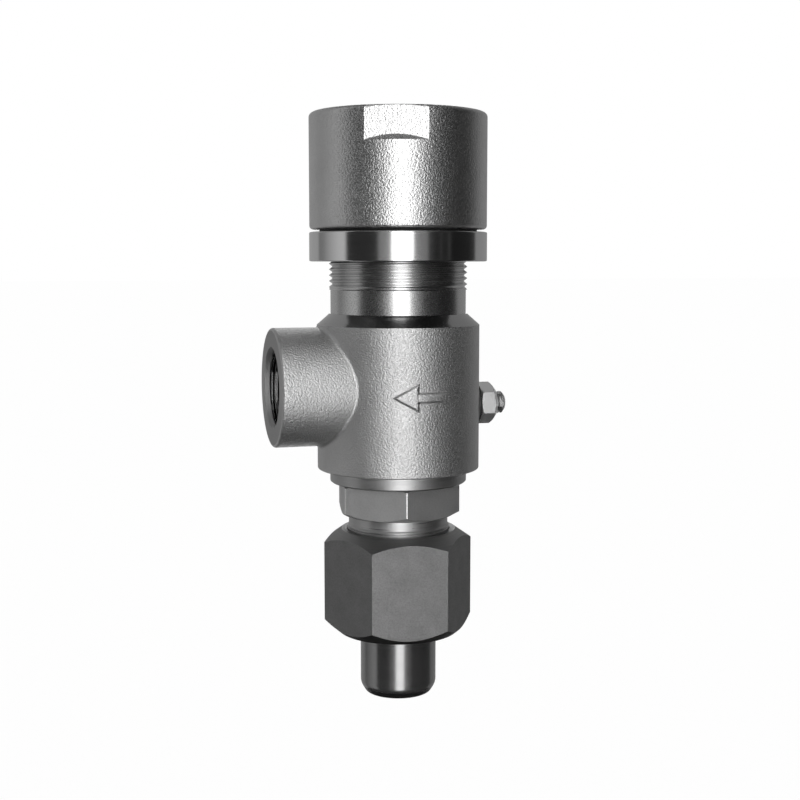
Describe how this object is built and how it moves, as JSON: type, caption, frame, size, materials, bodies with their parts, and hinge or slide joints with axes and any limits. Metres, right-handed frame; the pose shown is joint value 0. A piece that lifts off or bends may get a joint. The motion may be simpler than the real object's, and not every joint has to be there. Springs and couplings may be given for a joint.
{
  "type": "spring safety valve",
  "caption": "Spring safety valve with a weld-end inlet under a union nut, a side threaded outlet, and a screwed spring cap jammed by a lock ring.",
  "frame": {"origin": "centre of the inlet nipple's bore at its weld end", "axes": "+Z along the valve axis up to the cap, -X along the outlet, +X along the set screw"},
  "size_m": [0.0843, 0.0618, 0.2036],
  "materials": {
    "drawn_stainless": "drawn tube, polished round the axis",
    "milled_stainless": "milled flats, satin",
    "turned_stainless": "fine turned",
    "cast_stainless": "investment cast, shot blasted",
    "polished_stainless": "fine turned and polished",
    "bright_stainless": "bright fastener finish",
    "spring_steel": "drawn wire",
    "bronze": "turned bronze",
    "soft_copper": "soft annealed copper",
    "graphite": "dark sheet gasket",
    "ptfe": "white, waxy"
  },
  "bodies": {
    "inlet": {"weld_nipple": "drawn_stainless", "inlet_seal": "soft_copper"},
    "union": {"union_nut": "milled_stainless"},
    "valve": {"nozzle": "turned_stainless", "body_gasket": "graphite", "body": "cast_stainless", "guide_bush": "bronze", "snap_ring": "spring_steel", "spring": "spring_steel"},
    "blowdown": {"blowdown_ring": "bronze"},
    "screw": {"set_screw": "bright_stainless"},
    "screw_seal": {"set_screw_washer": "graphite"},
    "screw_lock": {"set_screw_nut": "bright_stainless"},
    "lift_train": {"disc": "turned_stainless", "seat_insert": "ptfe", "insert_screw": "bright_stainless", "stem": "turned_stainless", "stem_pin": "spring_steel", "lower_spring_seat": "turned_stainless"},
    "spring_press": {"upper_spring_seat": "turned_stainless", "thrust_ball": "bright_stainless"},
    "spring_cap": {"cap": "cast_stainless"},
    "ring_seal": {"cap_gasket": "graphite"},
    "jam_ring": {"lock_ring": "polished_stainless"}
  },
  "joints": [
    {"name": "union_nut_turn", "type": "hinge", "parent": "inlet", "child": "union", "pos_m": [0, 0, 0.04], "axis": [0, 0, 1], "range_deg": [-1080, 0]},
    {"name": "valve_part", "type": "slide", "parent": "inlet", "child": "valve", "axis": [0, 0, 1], "range_m": [0, 0.006]},
    {"name": "disc_lift", "type": "slide", "parent": "valve", "child": "lift_train", "axis": [0, 0, 1], "range_m": [0, 0.003], "stiffness_N_per_m": 23000, "springref_m": -0.0075, "deforming": ["spring"]},
    {"name": "blowdown_play", "type": "hinge", "parent": "valve", "child": "blowdown", "pos_m": [0, 0, 0.10275], "axis": [0, 0, 1], "range_deg": [-2.7, 2.7]},
    {"name": "set_screw_withdraw", "type": "slide", "parent": "valve", "child": "screw", "axis": [1, 0, 0], "range_m": [0, 0.0045]},
    {"name": "screw_seal_slide", "type": "slide", "parent": "valve", "child": "screw_seal", "axis": [1, 0, 0], "range_m": [0, 0.0025]},
    {"name": "screw_nut_turn", "type": "hinge", "parent": "screw_seal", "child": "screw_lock", "pos_m": [0.0345, 0, 0.10275], "axis": [1, 0, 0], "range_deg": [0, 720]},
    {"name": "spring_press_slide", "type": "slide", "parent": "valve", "child": "spring_press", "axis": [0, 0, 1], "range_m": [0, 0.006], "deforming": ["spring"]},
    {"name": "cap_turn", "type": "hinge", "parent": "spring_press", "child": "spring_cap", "pos_m": [0, 0, 0.18], "axis": [0, 0, 1], "range_deg": [0, 1080]},
    {"name": "ring_seal_slide", "type": "slide", "parent": "valve", "child": "ring_seal", "axis": [0, 0, 1], "range_m": [-0.008, 0]},
    {"name": "lock_ring_turn", "type": "hinge", "parent": "ring_seal", "child": "jam_ring", "pos_m": [0, 0, 0.158], "axis": [0, 0, 1], "range_deg": [-1440, 0]}
  ],
  "couplings": [
    {"joint": "union_nut_turn", "follows": "valve_part", "rad_per_m": -3141.5},
    {"joint": "screw_seal_slide", "follows": "screw_nut_turn", "m_per_rad": 0.0001989},
    {"joint": "spring_press_slide", "follows": "cap_turn", "m_per_rad": 0.0003183},
    {"joint": "ring_seal_slide", "follows": "lock_ring_turn", "m_per_rad": 0.0003183}
  ]
}
